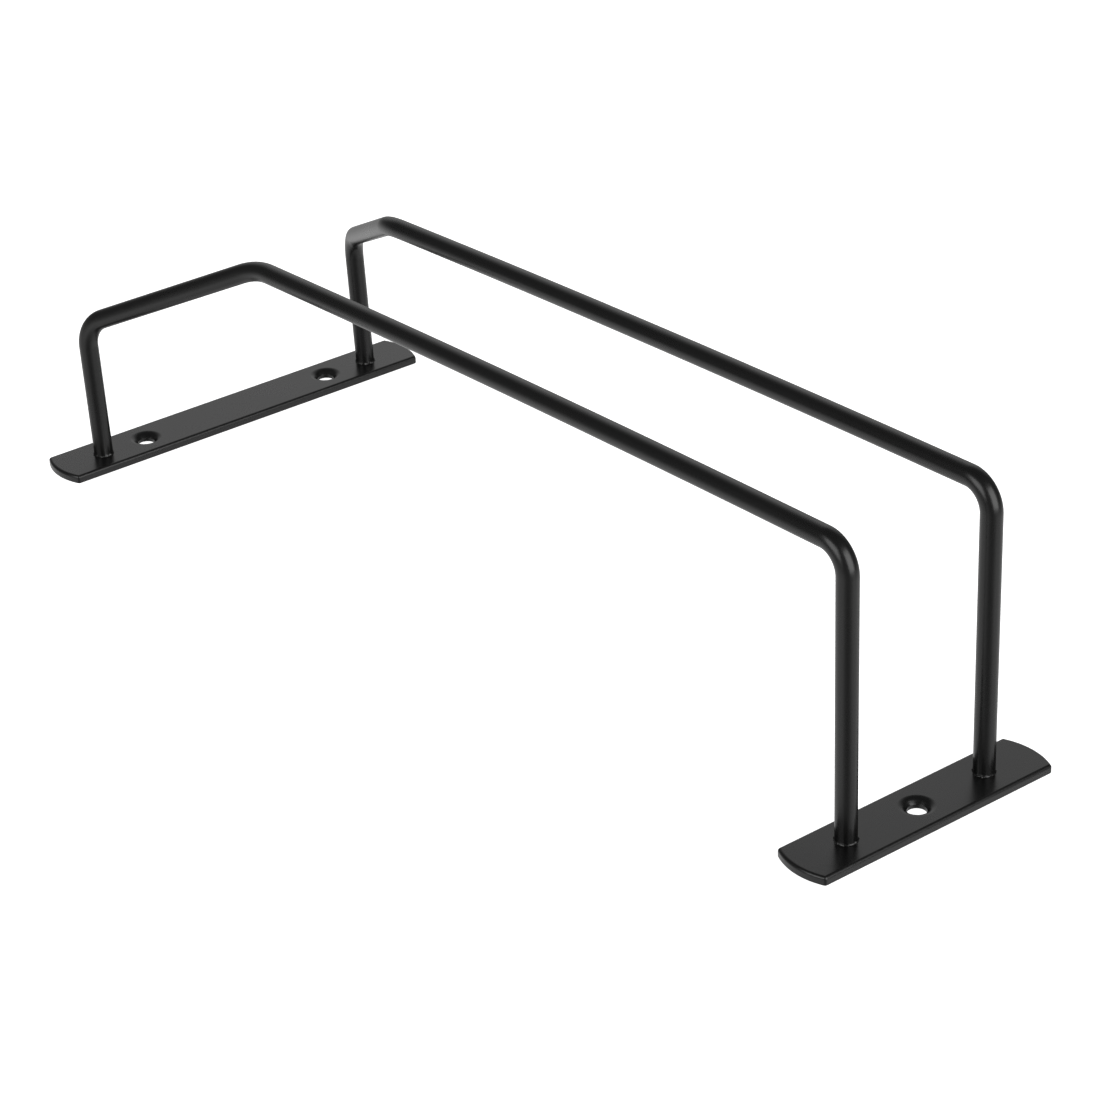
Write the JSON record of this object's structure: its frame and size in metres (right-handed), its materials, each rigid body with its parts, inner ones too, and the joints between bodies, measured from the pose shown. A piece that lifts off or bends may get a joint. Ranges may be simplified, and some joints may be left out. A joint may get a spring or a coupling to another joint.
{
  "type": "wine glass rack",
  "caption": "Under-shelf wine glass rack of bent black wire: parallel rails form a slot for hanging stems, flare open at the mouth and stand on flat screw plates.",
  "frame": {"origin": "middle of the footprint, on the plane of the plates' undersides, which is the mounting plane", "axes": "+Z away from the mounting plane, +X along the slot from the flared mouth towards the closed end, +Y towards the left rail"},
  "size_m": [0.28, 0.1122, 0.0745],
  "materials": {
    "powder_coat": "satin black powder coat on steel"
  },
  "bodies": {
    "root": {"left_rail": "powder_coat", "right_rail": "powder_coat", "end_plate": "powder_coat", "mouth_plate": "powder_coat"}
  },
  "joints": []
}
